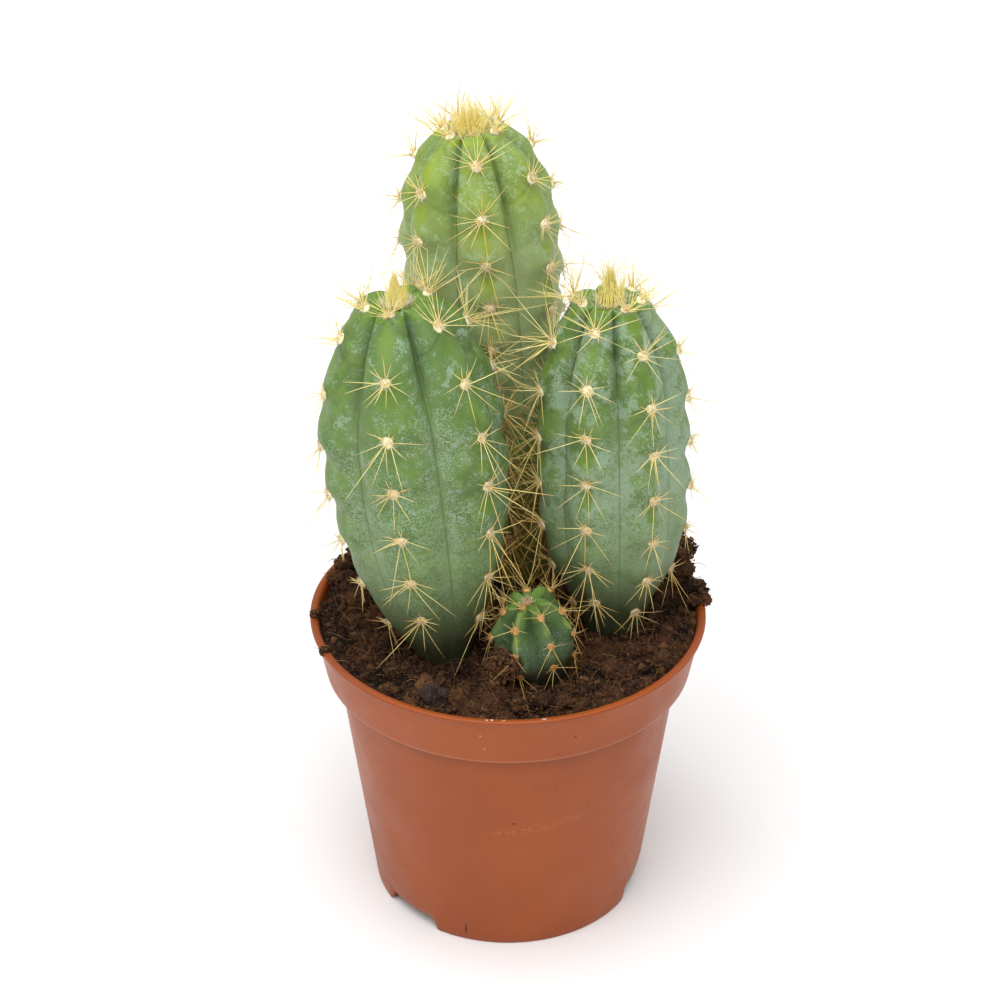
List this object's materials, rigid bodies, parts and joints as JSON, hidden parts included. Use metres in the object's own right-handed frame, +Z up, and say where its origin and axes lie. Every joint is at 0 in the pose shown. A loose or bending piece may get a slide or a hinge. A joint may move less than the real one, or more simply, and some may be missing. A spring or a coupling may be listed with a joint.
{
  "type": "potted tall cactus",
  "caption": "Clump of ribbed columnar cactus stems with golden spines and crown tufts and a small offset, growing in peat soil in a round terracotta-coloured plastic nursery pot.",
  "frame": {"origin": "on the pot's axis, at the surface that the pot stands on", "axes": "+Z up, -Y towards the viewer of the front, +X to the viewer's right"},
  "size_m": [0.12, 0.1202, 0.2504],
  "materials": {
    "pot_plastic": "satin terracotta-coloured plastic",
    "soil": "loose dark peat with light fibres",
    "flesh_blue_green": "waxy blue-green skin with pale bloom",
    "flesh_light_green": "waxy yellow-green skin",
    "flesh_dark_green": "waxy dark green skin",
    "golden_tuft": "dense golden wool and bristles"
  },
  "bodies": {
    "root": {"pot": "pot_plastic", "soil": "soil", "stem_left": "flesh_blue_green", "stem_right": "flesh_blue_green", "stem_tall": "flesh_light_green", "stem_offset": "flesh_dark_green", "crown_left": "golden_tuft", "crown_right": "golden_tuft", "crown_tall": "golden_tuft", "crown_offset": "golden_tuft"}
  },
  "joints": []
}
